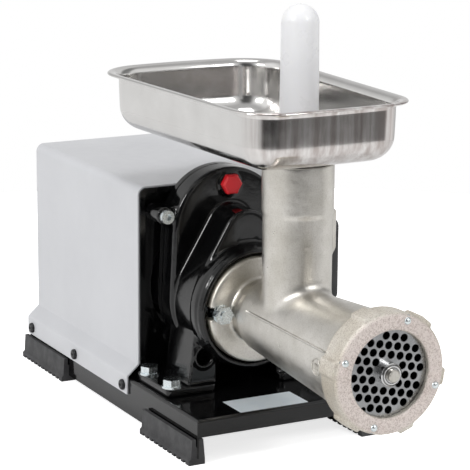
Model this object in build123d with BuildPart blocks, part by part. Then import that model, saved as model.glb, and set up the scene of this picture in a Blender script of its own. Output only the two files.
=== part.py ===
from build123d import *
from math import acos, cos, hypot, pi, radians, sin, sqrt, tan
import os

os.makedirs("parts", exist_ok=True)

# The machine stands on its feet at z = 0. Its outlet faces -Y, and the motor is behind.
# The origin is the bottom centre of the whole outline. The switch box stands out on the
# right only, so the machine's centre line is left of the origin.
lid_out = 120.0  # reach of the switch box's lid, right of the centre line
foot_reach = 83.0  # reach of the feet, either side of the centre line
centre_x = (foot_reach - lid_out) / 2
worm_z = 101.4  # height of the auger and of the output shaft
gap = 0.3  # clearance between parts that move past each other
running = 0.04  # radial clearance of a shaft in its bush

# ---- base, feet and cover ----
base_half = 76.2
base_front = -92.9
base_back = 233.5
base_top = 35.0
base_sheet = 1.5
base_side_bottom = 4.8
base_fold_bottom = 21.2
foot_length = 86.5
foot_top = 20.0
front_foot_y = -92.6
rear_foot_y = 148.5
cover_half = 67.7
cover_top = 191.0
cover_front = 28.3
cover_back = 233.7
cover_sheet = 1.2
cover_flange_half = 77.9
cover_flange_bottom = 21.8
cover_screw_ys = [35.8, 131.5, 223.7]
cover_screw_z = 28.4
panel_front = 26.3
panel_y = 33.5
rear_panel_y = 229.0

# ---- gearbox ----
gear_module_low = 2.0
gear_module_high = 1.5
output_teeth = 42
slow_pinion_teeth = 14
large_teeth = 52
motor_pinion_teeth = 13
intermediate_z = worm_z + gear_module_low * (output_teeth + slow_pinion_teeth) / 2
motor_z = intermediate_z - gear_module_high * (large_teeth + motor_pinion_teeth) / 2
block_front = -29.5  # front face of the teardrop block
case_front = 1.5  # front face of the main case
case_back = 20.5
plate_back = 26.2  # back of the gearbox's rear plate
case_top_r = 48.5
case_low_r = 51.0
block_small_r = 20.0
block_big_r = 49.0
wall = 4.0
plug_z = 193.0
collar_front = -44.5
flange_seat = -36.5
flange_front = -48.5
flange_r = 42.3
leg_screw = (38.0, 63.4)
top_boss = (55.0, 171.0)
foot_plate_top = 41.4
foot_bolt_xs = [-64.5, 64.5]
foot_bolt_ys = [-26.0, 14.1]

# ---- grinding head ----
plate_front = -236.5
plate_back_y = plate_front + 8.0
plate_r = 35.0
mouth_y = -235.3
mouth_r = 40.0
barrel_front_r = 39.0
barrel_back_r = 29.2
barrel_root_r = 25.2
neck_y = -107.0
neck_r = 26.3
neck_top = 229.6
neck_step_z = 192.4
neck_bore_r = 22.8
ring_front = -241.5
ring_back = -219.5
ring_r = 44.5
ring_opening_r = 31.7
ring_lugs = 6
ring_phase = -10.0
stud_x = 33.3
pin_r = 4.6

# ---- tray and pestle ----
tray_rim_z = 278.4
tray_floor_z = 229.9
tray_front_y = -168.5
tray_back_y = 92.1
tray_front_half = 71.5
tray_back_half = 82.6
tray_lip = 9.5
tray_sheet = 1.0
pestle_r = 13.3
pestle_top = 347.0
pestle_bottom = 131.5

# ---- motor ----
shaft_r = 7.5
stator_r = 50.0
rotor_r = 27.8
stator_front = 48.0
stator_back = 128.0
bell_back = 150.0
tie_rod_r = 45.5

# ---- switch box on the right of the cover ----
switch_front = 34.0
switch_length = 64.0
switch_bottom = 80.0
switch_height = 62.0
switch_out = 110.0  # where the body meets the lid
lid_margin = 3.5


def front_plane(y):
    """Square to the worm axis: local x is to the right, local y is the height, extrusions go to -Y."""
    return Plane(origin=(centre_x, y, 0), x_dir=(1, 0, 0), z_dir=(0, -1, 0))


def level_plane(z):
    """Level: local x is to the right and local y is to the back, from the machine's centre line."""
    return Plane(origin=(centre_x, 0, z), x_dir=(1, 0, 0), z_dir=(0, 0, 1))


def side_plane(x=0.0):
    """Upright and along the machine: local x is to the back, local y is the height."""
    return Plane(origin=(centre_x + x, 0, 0), x_dir=(0, 1, 0), z_dir=(1, 0, 0))


def y_axis(z, x=0.0):
    """The axis along the machine at this height."""
    return Axis((centre_x + x, 0, z), (0, 1, 0))


def disc(y_from, y_to, radius, z, x=0.0, mode=Mode.ADD):
    """A cylinder along Y, from one y to the other, in the part being built."""
    with BuildSketch(front_plane(y_to)) as profile:
        with Locations((x, z)):
            Circle(radius)
    extrude(profile.sketch, amount=y_to - y_from, mode=mode)


def hull_block(y_from, y_to, top_r, low_r, top_z, low_z, mode=Mode.ADD):
    """A block along Y whose outline wraps an upper circle and a lower circle."""
    with BuildSketch(front_plane(y_to)) as profile:
        with Locations((0, top_z)):
            Circle(top_r)
        with Locations((0, low_z)):
            Circle(low_r)
        make_hull()
    extrude(profile.sketch, amount=y_to - y_from, mode=mode)


def involute_point(base_r, radius, start_angle, side):
    """A point of an involute flank at this radius, as (x, y)."""
    roll = acos(min(1.0, base_r / radius))
    angle = start_angle + side * (tan(roll) - roll)
    return radius * cos(angle), radius * sin(angle)


def gear_outline(module, teeth, first_tooth, backlash=0.12, pressure=25.0, flank_points=4):
    """The closed outline of an involute spur gear, with a tooth centred at the angle first_tooth."""
    pitch_r = module * teeth / 2
    tip_r = pitch_r + 0.95 * module
    root_r = pitch_r - 1.2 * module
    base_r = pitch_r * cos(radians(pressure))
    at_pitch = acos(base_r / pitch_r)
    half_tooth = pi / (2 * teeth) - backlash / pitch_r + tan(at_pitch) - at_pitch
    low_r = max(base_r, root_r)
    points = []
    for tooth in range(teeth):
        middle = radians(first_tooth) + 2 * pi * tooth / teeth
        radii = [low_r + (tip_r - low_r) * step / (flank_points - 1) for step in range(flank_points)]
        rising = [involute_point(base_r, r, middle - half_tooth, 1) for r in radii]
        falling = [involute_point(base_r, r, middle + half_tooth, -1) for r in reversed(radii)]
        start = middle - half_tooth
        end = middle + half_tooth
        points.append((root_r * cos(start), root_r * sin(start)))
        points.extend(rising)
        points.extend(falling)
        points.append((root_r * cos(end), root_r * sin(end)))
    return points


def gear_body(y_from, y_to, z, module, teeth, first_tooth):
    """A spur gear blank with its teeth, along Y."""
    with BuildSketch(front_plane(y_to)) as profile:
        with BuildLine(Plane(origin=(0, z, 0))):
            Polyline(*gear_outline(module, teeth, first_tooth), close=True)
        make_face()
    extrude(profile.sketch, amount=y_to - y_from)


def hexagon(y_from, y_to, flats, z, x=0.0, mode=Mode.ADD):
    """A hexagonal prism along Y, flats up and down."""
    with BuildSketch(front_plane(y_to)) as profile:
        with Locations((x, z)):
            RegularPolygon(radius=flats / 2, side_count=6, major_radius=False)
    extrude(profile.sketch, amount=y_to - y_from, mode=mode)


# =====================================================================
# Base pan: a folded sheet, open below
# =====================================================================
with BuildPart() as base_pan:
    with BuildSketch(level_plane(base_side_bottom)):
        with Locations((0, (base_front + base_back) / 2)):
            Rectangle(2 * base_half, base_back - base_front)
    extrude(amount=base_top - base_side_bottom)
    fillet(base_pan.faces().sort_by(Axis.Z)[-1].edges(), 2.5)
    offset(amount=-base_sheet, openings=base_pan.faces().sort_by(Axis.Z)[0])
    with BuildSketch(level_plane(base_side_bottom)):
        with Locations((0, base_front), (0, base_back)):
            Rectangle(2 * (base_half - base_sheet), 8)
    extrude(amount=base_fold_bottom - base_side_bottom, mode=Mode.SUBTRACT)
    with BuildSketch(level_plane(base_top)):
        with Locations([(x, y) for x in foot_bolt_xs for y in foot_bolt_ys]):
            Circle(4.2)
    extrude(amount=-2 * base_sheet, mode=Mode.SUBTRACT)
    with BuildSketch(side_plane(-base_half - 1)):
        with Locations([(y, cover_screw_z) for y in cover_screw_ys]):
            Circle(2.1)
    extrude(amount=2 * base_half + 2, mode=Mode.SUBTRACT)
base_pan.part.label = "base_pan"
export_step(base_pan.part, "parts/base_pan.step")

# =====================================================================
# Feet: rubber blocks with a slot that takes the pan's side wall and a toothed sole
# =====================================================================
feet_at = {
    "foot_front_left": (-1, front_foot_y),
    "foot_front_right": (1, front_foot_y),
    "foot_rear_left": (-1, rear_foot_y),
    "foot_rear_right": (1, rear_foot_y),
}
sole_pitch = foot_length / 11
for foot_name, (side, foot_y) in feet_at.items():
    with BuildPart() as foot:
        with BuildSketch(front_plane(foot_y + foot_length)):
            with BuildLine():
                Polyline(
                    (side * 69.5, 4.5),
                    (side * 69.5, 0.0),
                    (side * foot_reach, 0.0),
                    (side * foot_reach, 4.0),
                    (side * 81.3, 5.5),
                    (side * 80.4, foot_top),
                    (side * (base_half + 1.0), foot_top),
                    (side * (base_half + 1.0), foot_top - 5.0),
                    (side * base_half, foot_top - 7.0),
                    (side * base_half, base_side_bottom),
                    (side * (base_half - base_sheet), base_side_bottom),
                    (side * (base_half - base_sheet), foot_top),
                    (side * 71.0, foot_top),
                    close=True,
                )
            make_face()
        extrude(amount=foot_length)
        with BuildSketch(side_plane(-100)):
            with Locations([(foot_y + sole_pitch * (step + 1), 0) for step in range(10)]):
                Rectangle(sole_pitch * 0.42, 4.4)
        extrude(amount=200, mode=Mode.SUBTRACT)
    foot.part.label = foot_name
    export_step(foot.part, f"parts/{foot_name}.step")

# =====================================================================
# Cover: an inverted U whose flanges bend out over the pan's sides
# =====================================================================
with BuildPart() as cover_shell:
    with BuildSketch(front_plane(cover_back)):
        with BuildLine():
            FilletPolyline(
                (-cover_flange_half, cover_flange_bottom),
                (-cover_flange_half, 37.0),
                (-cover_half, 46.1),
                (-cover_half, cover_top),
                (cover_half, cover_top),
                (cover_half, 46.1),
                (cover_flange_half, 37.0),
                (cover_flange_half, cover_flange_bottom),
                radius=[2.5, 2.5, 7.0, 7.0, 2.5, 2.5],
            )
            offset(amount=-cover_sheet, side=Side.RIGHT, closed=True)
        make_face()
    extrude(amount=cover_back - cover_front)
    with BuildSketch(side_plane(-cover_flange_half - 1)):
        with Locations([(y, cover_screw_z) for y in cover_screw_ys]):
            Circle(2.4)
    extrude(amount=2 * cover_flange_half + 2, mode=Mode.SUBTRACT)
cover_shell.part.label = "cover_shell"
export_step(cover_shell.part, "parts/cover_shell.step")

# =====================================================================
# Cover screws: six pan heads
# =====================================================================
with BuildPart() as cover_screws:
    for side in (-1, 1):
        for screw_y in cover_screw_ys:
            with BuildSketch(side_plane(side * cover_flange_half)):
                with Locations((screw_y, cover_screw_z)):
                    Circle(4.4)
            extrude(amount=side * 2.6)
            with BuildSketch(side_plane(side * cover_flange_half)):
                with Locations((screw_y, cover_screw_z)):
                    Circle(2.0)
            extrude(amount=-side * 8.0)
    fillet(cover_screws.edges().filter_by(GeomType.CIRCLE).group_by(Axis.X)[-1], 1.6)
    fillet(cover_screws.edges().filter_by(GeomType.CIRCLE).group_by(Axis.X)[0], 1.6)
    for side in (-1, 1):
        with BuildSketch(side_plane(side * (cover_flange_half + 2.6))):
            with Locations([(y, cover_screw_z) for y in cover_screw_ys]):
                RegularPolygon(radius=1.3, side_count=6)
        extrude(amount=-side * 1.4, mode=Mode.SUBTRACT)
cover_screws.part.label = "cover_screws"
export_step(cover_screws.part, "parts/cover_screws.step")

# =====================================================================
# Front panel: a sheet with a rim and a round opening for the motor
# =====================================================================
panel_half = cover_half - cover_sheet
panel_top = cover_top - cover_sheet
with BuildPart() as front_panel:
    with BuildSketch(front_plane(panel_y)):
        with Locations((0, (base_top + panel_top) / 2)):
            Rectangle(2 * panel_half, panel_top - base_top)
    extrude(amount=panel_y - panel_front)
    fillet(front_panel.edges().filter_by(Axis.Y).group_by(Axis.Z)[-1], 5.8)
    with BuildSketch(front_plane(panel_front)):
        with Locations((0, (base_top + panel_top) / 2)):
            RectangleRounded(2 * panel_half - 9, panel_top - base_top - 9, 3)
    extrude(amount=-(panel_y - panel_front - 1.5), mode=Mode.SUBTRACT)
    disc(panel_front, panel_y, stator_r + 4.5, motor_z, mode=Mode.SUBTRACT)
front_panel.part.label = "front_panel"
export_step(front_panel.part, "parts/front_panel.step")

# =====================================================================
# Rear panel: vents and the cable gland's hole
# =====================================================================
gland_x = -44.0
gland_z = 48.0
with BuildPart() as rear_panel:
    with BuildSketch(front_plane(rear_panel_y)):
        with Locations((0, (base_top + panel_top) / 2)):
            Rectangle(2 * panel_half, panel_top - base_top)
    extrude(amount=1.5)
    fillet(rear_panel.edges().filter_by(Axis.Y).group_by(Axis.Z)[-1], 5.8)
    with BuildSketch(front_plane(rear_panel_y)):
        with GridLocations(0, 9, 1, 9):
            with Locations((0, motor_z + 4)):
                SlotOverall(74, 4)
        with Locations((gland_x, gland_z)):
            Circle(8.0)
    extrude(amount=3, mode=Mode.SUBTRACT)
rear_panel.part.label = "rear_panel"
export_step(rear_panel.part, "parts/rear_panel.step")

with BuildPart() as cable_gland:
    disc(rear_panel_y - 9, rear_panel_y + 6, 7.9, gland_z, gland_x)
    hexagon(rear_panel_y, rear_panel_y + 5, 20.0, gland_z, gland_x)
    hexagon(rear_panel_y - 6.0, rear_panel_y - 1.5, 19.0, gland_z, gland_x)
    with BuildSketch(front_plane(rear_panel_y + 5)):
        with Locations((gland_x, gland_z)):
            Circle(8.6)
    extrude(amount=-13, taper=14)
    disc(rear_panel_y - 10, rear_panel_y + 19, 3.8, gland_z, gland_x, mode=Mode.SUBTRACT)
cable_gland.part.label = "cable_gland"
export_step(cable_gland.part, "parts/cable_gland.step")

# =====================================================================
# Gearbox housing: case, teardrop block, collar, legs and foot plates
# =====================================================================
shaft_bush_r = 15.0
small_bush_r = 9.0
with BuildPart() as gearbox_housing:
    hull_block(case_front, case_back, case_top_r, case_low_r, intermediate_z, worm_z)
    fillet(gearbox_housing.faces().sort_by(Axis.Y)[0].edges(), 3.0)
    for side in (-1, 1):
        disc(4.0, case_back, 7.0, top_boss[1], side * top_boss[0])
        with BuildSketch(front_plane(case_back)):
            with Locations((side * 48, top_boss[1])):
                Rectangle(12, 12)
        extrude(amount=case_back - 6.0)
    hull_block(block_front, case_front + 2, block_small_r, block_big_r, intermediate_z, worm_z)
    fillet(gearbox_housing.faces().sort_by(Axis.Y)[0].edges(), 2.2)
    for side in (-1, 1):
        with BuildSketch(front_plane(13.5)):
            with BuildLine():
                Polyline(
                    (side * 45.0, 90.0),
                    (side * 51.5, foot_plate_top),
                    (side * 51.5, base_top),
                    (side * 27.0, base_top),
                    (side * 27.0, 62.0),
                    (side * 20.0, 90.0),
                    close=True,
                )
            make_face()
            with Locations((side * 27.0, base_top)):
                Circle(6.0, mode=Mode.SUBTRACT)
        extrude(amount=13.5 - block_front)
        with BuildSketch(level_plane(base_top)):
            with Locations((side * 50.0, (block_front + 24.5 - 4) / 2)):
                RectangleRounded(43.0, 24.5 - block_front + 4, 4)
        extrude(amount=foot_plate_top - base_top)
        disc(block_front - 1.5, block_front, 9.0, leg_screw[1], side * leg_screw[0])
    disc(flange_seat, block_front + 1, 50.0, worm_z)
    disc(collar_front + 3.0, flange_seat, 49.0, worm_z)
    disc(collar_front, flange_seat, 47.6, worm_z)
    disc(case_front - 1.2, case_front + 1, 9.5, plug_z)
    # the hollow inside, from the back
    hull_block(case_front + wall, case_back, case_top_r - wall, case_low_r - wall,
               intermediate_z, worm_z, mode=Mode.SUBTRACT)
    hull_block(block_front + wall, case_back, block_small_r - 2.7, block_big_r - 3.7,
               intermediate_z, worm_z, mode=Mode.SUBTRACT)
    # seat of the head's flange, shaft bore and bush seats
    disc(collar_front, flange_seat, 43.8, worm_z, mode=Mode.SUBTRACT)
    disc(flange_seat, case_back, shaft_bush_r, worm_z, mode=Mode.SUBTRACT)
    disc(block_front + 1.0, case_back, small_bush_r, intermediate_z, mode=Mode.SUBTRACT)
    disc(case_front - 2, case_back, 5.0, plug_z, mode=Mode.SUBTRACT)
    for side in (-1, 1):
        disc(flange_seat, -27.0, 4.0, worm_z + 1.0, side * stud_x, mode=Mode.SUBTRACT)
        disc(0, case_back, 3.2, top_boss[1], side * top_boss[0], mode=Mode.SUBTRACT)
        disc(block_front - 2, -6.0, 6.6, leg_screw[1], side * leg_screw[0], mode=Mode.SUBTRACT)
        disc(-6.0, case_back, 3.2, leg_screw[1], side * leg_screw[0], mode=Mode.SUBTRACT)
    with BuildSketch(level_plane(foot_plate_top)):
        with Locations([(x, y) for x in foot_bolt_xs for y in foot_bolt_ys]):
            Circle(4.2)
    extrude(amount=base_top - foot_plate_top, mode=Mode.SUBTRACT)
gearbox_housing.part.label = "gearbox_housing"
export_step(gearbox_housing.part, "parts/gearbox_housing.step")

# =====================================================================
# Gearbox rear plate, bearing plate and bushes
# =====================================================================
bearing_r = 17.5
with BuildPart() as gearbox_rear_plate:
    hull_block(case_back, plate_back, case_top_r, case_low_r, intermediate_z, worm_z)
    for side in (-1, 1):
        disc(case_back, plate_back, 7.0, top_boss[1], side * top_boss[0])
        with BuildSketch(front_plane(plate_back)):
            with Locations((side * 48, top_boss[1])):
                Rectangle(12, 12)
            with Locations((side * leg_screw[0], leg_screw[1] + 4)):
                Circle(9)
        extrude(amount=plate_back - case_back)
    disc(case_back, case_back + 5, small_bush_r, intermediate_z, mode=Mode.SUBTRACT)
    disc(case_back, plate_back, 12.0, motor_z, mode=Mode.SUBTRACT)
    for side in (-1, 1):
        disc(case_back, plate_back, 3.2, top_boss[1], side * top_boss[0], mode=Mode.SUBTRACT)
        disc(case_back, plate_back, 3.2, leg_screw[1], side * leg_screw[0], mode=Mode.SUBTRACT)
    with BuildSketch(front_plane(plate_back)):
        with Locations((0, motor_z)):
            with PolarLocations(tie_rod_r, 4, start_angle=45):
                Circle(2.6)
    extrude(amount=plate_back - case_back - 2.0, mode=Mode.SUBTRACT)
gearbox_rear_plate.part.label = "gearbox_rear_plate"
export_step(gearbox_rear_plate.part, "parts/gearbox_rear_plate.step")

bearing_plate_front = case_front + wall
bearing_plate_back = bearing_plate_front + 4.0
with BuildPart() as bearing_plate:
    hull_block(bearing_plate_front, bearing_plate_back, case_top_r - wall - 0.2,
               case_low_r - wall - 0.2, intermediate_z, worm_z)
    disc(bearing_plate_front, bearing_plate_back, 11.0, worm_z, mode=Mode.SUBTRACT)
    disc(bearing_plate_front, bearing_plate_back, 11.0, intermediate_z, mode=Mode.SUBTRACT)
    disc(bearing_plate_front, bearing_plate_back, 6.0, plug_z, mode=Mode.SUBTRACT)
    for side in (-1, 1):
        disc(bearing_plate_front, bearing_plate_back, 4.0, leg_screw[1], side * leg_screw[0],
             mode=Mode.SUBTRACT)
bearing_plate.part.label = "bearing_plate"
export_step(bearing_plate.part, "parts/bearing_plate.step")

output_shaft_r = 12.0
with BuildPart() as output_front_bush:
    disc(-33.0, block_front + wall + 0.7, shaft_bush_r, worm_z)
    disc(-33.0, block_front + wall + 0.7, output_shaft_r + running, worm_z, mode=Mode.SUBTRACT)
output_front_bush.part.label = "output_front_bush"
export_step(output_front_bush.part, "parts/output_front_bush.step")

with BuildPart() as output_seal:
    disc(flange_seat, -33.0, shaft_bush_r, worm_z)
    disc(flange_seat, -33.0, output_shaft_r + running, worm_z, mode=Mode.SUBTRACT)
    disc(flange_seat, -34.2, output_shaft_r + 1.6, worm_z, mode=Mode.SUBTRACT)
output_seal.part.label = "output_seal"
export_step(output_seal.part, "parts/output_seal.step")

output_journal_r = 8.0
with BuildPart() as output_rear_bush:
    disc(bearing_plate_front, bearing_plate_back, 11.0, worm_z)
    disc(bearing_plate_front, bearing_plate_back, output_journal_r + running, worm_z, mode=Mode.SUBTRACT)
output_rear_bush.part.label = "output_rear_bush"
export_step(output_rear_bush.part, "parts/output_rear_bush.step")

intermediate_shaft_r = 6.0
with BuildPart() as intermediate_bushes:
    disc(block_front + 1.0, block_front + wall + 0.6, small_bush_r, intermediate_z)
    disc(case_back - 0.6, case_back + 5, small_bush_r, intermediate_z)
    disc(block_front, plate_back, intermediate_shaft_r + running, intermediate_z, mode=Mode.SUBTRACT)
intermediate_bushes.part.label = "intermediate_bushes"
export_step(intermediate_bushes.part, "parts/intermediate_bushes.step")

# =====================================================================
# Gear train: output gear below, intermediate pair above, motor pinion behind
# =====================================================================
slow_front = block_front + wall + 1.0
slow_back = slow_front + 18.0
fast_front = bearing_plate_back + 1.0
fast_back = fast_front + 8.0
half_gap_slow = 180 / slow_pinion_teeth
half_gap_fast = 180 / motor_pinion_teeth
output_bore_r = 14.0
with BuildPart() as output_gear:
    gear_body(slow_front, slow_back, worm_z, gear_module_low, output_teeth, 90)
    disc(slow_front, slow_back, output_bore_r, worm_z, mode=Mode.SUBTRACT)
    with BuildSketch(front_plane(slow_back)):
        with Locations((0, worm_z)):
            with PolarLocations(26, 6, start_angle=15):
                Circle(6)
    extrude(amount=slow_back - slow_front, mode=Mode.SUBTRACT)
output_gear.part.label = "output_gear"
export_step(output_gear.part, "parts/output_gear.step")

with BuildPart() as intermediate_pinion:
    gear_body(slow_front, slow_back, intermediate_z, gear_module_low, slow_pinion_teeth,
              -90 + half_gap_slow)
    disc(slow_front, slow_back, intermediate_shaft_r + 1.0, intermediate_z, mode=Mode.SUBTRACT)
intermediate_pinion.part.label = "intermediate_pinion"
export_step(intermediate_pinion.part, "parts/intermediate_pinion.step")

with BuildPart() as intermediate_gear:
    gear_body(fast_front, fast_back, intermediate_z, gear_module_high, large_teeth, -90)
    disc(fast_front, fast_back, intermediate_shaft_r + 1.0, intermediate_z, mode=Mode.SUBTRACT)
    with BuildSketch(front_plane(fast_back)):
        with Locations((0, intermediate_z)):
            with PolarLocations(23, 6):
                Circle(7)
    extrude(amount=fast_back - fast_front, mode=Mode.SUBTRACT)
intermediate_gear.part.label = "intermediate_gear"
export_step(intermediate_gear.part, "parts/intermediate_gear.step")

with BuildPart() as intermediate_shaft:
    disc(block_front + 1.2, case_back + 4.8, intermediate_shaft_r, intermediate_z)
    disc(slow_front, fast_back, intermediate_shaft_r + 1.0, intermediate_z)
intermediate_shaft.part.label = "intermediate_shaft"
export_step(intermediate_shaft.part, "parts/intermediate_shaft.step")

pinion_bore_r = 4.5
with BuildPart() as motor_pinion:
    gear_body(fast_front - 0.5, fast_back + 0.5, motor_z, gear_module_high, motor_pinion_teeth,
              90 + half_gap_fast)
    disc(fast_front - 0.5, fast_back + 0.5, pinion_bore_r, motor_z, mode=Mode.SUBTRACT)
motor_pinion.part.label = "motor_pinion"
export_step(motor_pinion.part, "parts/motor_pinion.step")

tongue_front = -42.0
tongue_side = 14.0
with BuildPart() as output_shaft:
    disc(tongue_front, slow_front, output_shaft_r, worm_z)
    disc(slow_front, slow_back, output_bore_r, worm_z)
    disc(slow_back, bearing_plate_back, output_journal_r, worm_z)
    with BuildSketch(front_plane(tongue_front)):
        with Locations((0, worm_z)):
            Rectangle(tongue_side, tongue_side)
    extrude(amount=-15, mode=Mode.SUBTRACT)
output_shaft.part.label = "output_shaft"
export_step(output_shaft.part, "parts/output_shaft.step")

# =====================================================================
# Grinding head: barrel, neck and flange in one casting
# =====================================================================
bore_front_r = 32.5
bore_back_r = 21.2
recess_back = -216.0
barrel_end = flange_front - 20.0
root_front = flange_front - 9.0
key_angle = 232.0
key_inner_r = 31.0
key_ray = Vector(cos(radians(key_angle)), 0, sin(radians(key_angle)))
key_foot = Vector(centre_x, plate_back_y - 4.0, worm_z) + key_ray * key_inner_r
key_plane = Plane(origin=key_foot, z_dir=key_ray)
with BuildPart() as head_casting:
    with BuildSketch(side_plane()):
        with BuildLine():
            Polyline(
                (mouth_y, worm_z),
                (mouth_y, worm_z + mouth_r),
                (ring_back + 2.5, worm_z + mouth_r),
                (ring_back + 4.5, worm_z + barrel_front_r),
                (barrel_end, worm_z + barrel_back_r),
                (root_front, worm_z + barrel_root_r),
                (flange_front, worm_z + barrel_root_r - 0.4),
                (flange_front, worm_z + flange_r - 1.2),
                (flange_front + 1.2, worm_z + flange_r),
                (flange_seat, worm_z + flange_r),
                (flange_seat, worm_z),
                close=True,
            )
        make_face()
    revolve(axis=y_axis(worm_z))
    with BuildSketch(level_plane(worm_z)):
        with Locations((0, neck_y)):
            Circle(neck_r)
    extrude(amount=neck_top - worm_z)
    neck_root = head_casting.edges().filter_by(GeomType.BSPLINE).sort_by(Axis.Z)[-1]
    fillet(neck_root, 7.5)
    with BuildSketch(level_plane(neck_step_z)):
        with Locations((0, neck_y)):
            Circle(neck_r + 0.8)
    extrude(amount=neck_top - neck_step_z)
    with BuildSketch(level_plane(160.0)):
        with Locations((neck_r - 4.0, neck_y)):
            RectangleRounded(12.0, 24.0, 4.0)
    extrude(amount=neck_step_z - 160.0)
    # bores: feed bore, plate recess, conical barrel bore
    with BuildSketch(side_plane()):
        with BuildLine():
            Polyline(
                (mouth_y, worm_z),
                (mouth_y, worm_z + plate_r + 0.1),
                (recess_back, worm_z + plate_r + 0.1),
                (recess_back, worm_z + bore_front_r),
                (flange_seat, worm_z + bore_back_r),
                (flange_seat, worm_z),
                close=True,
            )
        make_face()
    revolve(axis=y_axis(worm_z), mode=Mode.SUBTRACT)
    with BuildSketch(level_plane(worm_z)):
        with Locations((0, neck_y)):
            Circle(neck_bore_r)
    extrude(amount=neck_top - worm_z, mode=Mode.SUBTRACT)
    with BuildSketch(key_plane):
        Circle(2.0)
    extrude(amount=mouth_r - 2.0 - key_inner_r, mode=Mode.SUBTRACT)
    # open notches for the clamp studs
    with BuildSketch(front_plane(flange_seat)):
        with Locations((-flange_r, worm_z + 1.0), (flange_r, worm_z + 1.0)):
            SlotOverall(2 * (flange_r - stud_x) + 9.0, 9.0)
    extrude(amount=flange_seat - flange_front, mode=Mode.SUBTRACT)
head_casting.part.label = "head_casting"
export_step(head_casting.part, "parts/head_casting.step")

# =====================================================================
# Clamp studs and nuts
# =====================================================================
stud_z = worm_z + 1.0
with BuildPart() as clamp_studs:
    for side in (-1, 1):
        disc(-57.0, -27.0, 3.95, stud_z, side * stud_x)
clamp_studs.part.label = "clamp_studs"
export_step(clamp_studs.part, "parts/clamp_studs.step")

with BuildPart() as clamp_nuts:
    for side in (-1, 1):
        disc(flange_front - 1.5, flange_front, 7.3, stud_z, side * stud_x)
        hexagon(flange_front - 7.3, flange_front - 1.5, 13.0, stud_z, side * stud_x)
        disc(flange_front - 7.3, flange_front, 4.0, stud_z, side * stud_x, mode=Mode.SUBTRACT)
clamp_nuts.part.label = "clamp_nuts"
export_step(clamp_nuts.part, "parts/clamp_nuts.step")

# =====================================================================
# Cutting plate: a triangular grid of holes, a centre bush and a key notch
# =====================================================================
hole_r = 3.0
hole_pitch = 7.6
grid_turn = -12.95
bush_r = 8.5
row_height = hole_pitch * sqrt(3) / 2
holes = []
for row in range(-4, 5):
    for column in range(-5, 6):
        across = (column + 0.5 * (row % 2)) * hole_pitch
        up = row * row_height
        if 1.7 < hypot(across, up) / hole_pitch < 3.62:
            turn = radians(grid_turn)
            hole_x = across * cos(turn) - up * sin(turn)
            hole_z = worm_z + across * sin(turn) + up * cos(turn)
            holes.append((hole_x, hole_z))
with BuildPart() as cutting_plate:
    disc(plate_front, plate_back_y, plate_r, worm_z)
    with BuildSketch(front_plane(plate_back_y)):
        with Locations(holes):
            Circle(hole_r)
        with Locations((0, worm_z)):
            Circle(bush_r)
            with PolarLocations(plate_r, 1, start_angle=key_angle):
                SlotOverall(12.0, 4.4)
    extrude(amount=plate_back_y - plate_front, mode=Mode.SUBTRACT)
cutting_plate.part.label = "cutting_plate"
export_step(cutting_plate.part, "parts/cutting_plate.step")

with BuildPart() as plate_key:
    with BuildSketch(key_plane):
        Circle(2.0)
    extrude(amount=mouth_r - 2.0 - key_inner_r)
plate_key.part.label = "plate_key"
export_step(plate_key.part, "parts/plate_key.step")

bush_front = plate_front - 7.0
with BuildPart() as plate_bush:
    disc(bush_front, plate_back_y, bush_r, worm_z)
    chamfer(plate_bush.faces().sort_by(Axis.Y)[0].edges(), 1.4)
    disc(bush_front, plate_back_y, pin_r + running, worm_z, mode=Mode.SUBTRACT)
plate_bush.part.label = "plate_bush"
export_step(plate_bush.part, "parts/plate_bush.step")

# =====================================================================
# Ring nut
# =====================================================================
with BuildPart() as ring_nut:
    with BuildSketch(side_plane()):
        with BuildLine():
            Polyline(
                (ring_front, worm_z + ring_opening_r + 1.0),
                (ring_front, worm_z + ring_r - 2.0),
                (ring_front + 2.0, worm_z + ring_r),
                (ring_back - 1.0, worm_z + ring_r),
                (ring_back, worm_z + ring_r - 1.0),
                (ring_back, worm_z + mouth_r + 0.4),
                (plate_front - gap, worm_z + mouth_r + 0.4),
                (plate_front - gap, worm_z + ring_opening_r),
                (ring_front + 1.0, worm_z + ring_opening_r),
                close=True,
            )
        make_face()
    revolve(axis=y_axis(worm_z))
    with BuildSketch(front_plane(ring_back - 1.0)):
        with Locations((0, worm_z)):
            with PolarLocations(ring_r - 1.2, ring_lugs, start_angle=ring_phase):
                RectangleRounded(7.0, 13.0, 2.2)
    extrude(amount=ring_back - ring_front - 3.0)
    disc(plate_front - gap, ring_back, mouth_r + 0.4, worm_z, mode=Mode.SUBTRACT)
    with BuildSketch(front_plane(ring_front)):
        with Locations((0, worm_z)):
            with PolarLocations(39.5, 4, start_angle=ring_phase):
                Circle(2.4)
    extrude(amount=1.2, taper=30)
ring_nut.part.label = "ring_nut"
export_step(ring_nut.part, "parts/ring_nut.step")

# =====================================================================
# Knife and auger
# =====================================================================
knife_front = plate_back_y + gap
knife_back = knife_front + 7.0
knife_square = 12.0
with BuildPart() as knife:
    disc(knife_front, knife_back, 12.5, worm_z)
    with BuildSketch(front_plane(knife_back)):
        with Locations((0, worm_z)):
            with PolarLocations(20.0, 4):
                Rectangle(27.0, 9.0)
    extrude(amount=knife_back - knife_front)
    with BuildSketch(front_plane(knife_back)):
        with Locations((0, worm_z)):
            Rectangle(knife_square, knife_square)
    extrude(amount=knife_back - knife_front, mode=Mode.SUBTRACT)
knife.part.label = "knife"
export_step(knife.part, "parts/knife.step")

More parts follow.
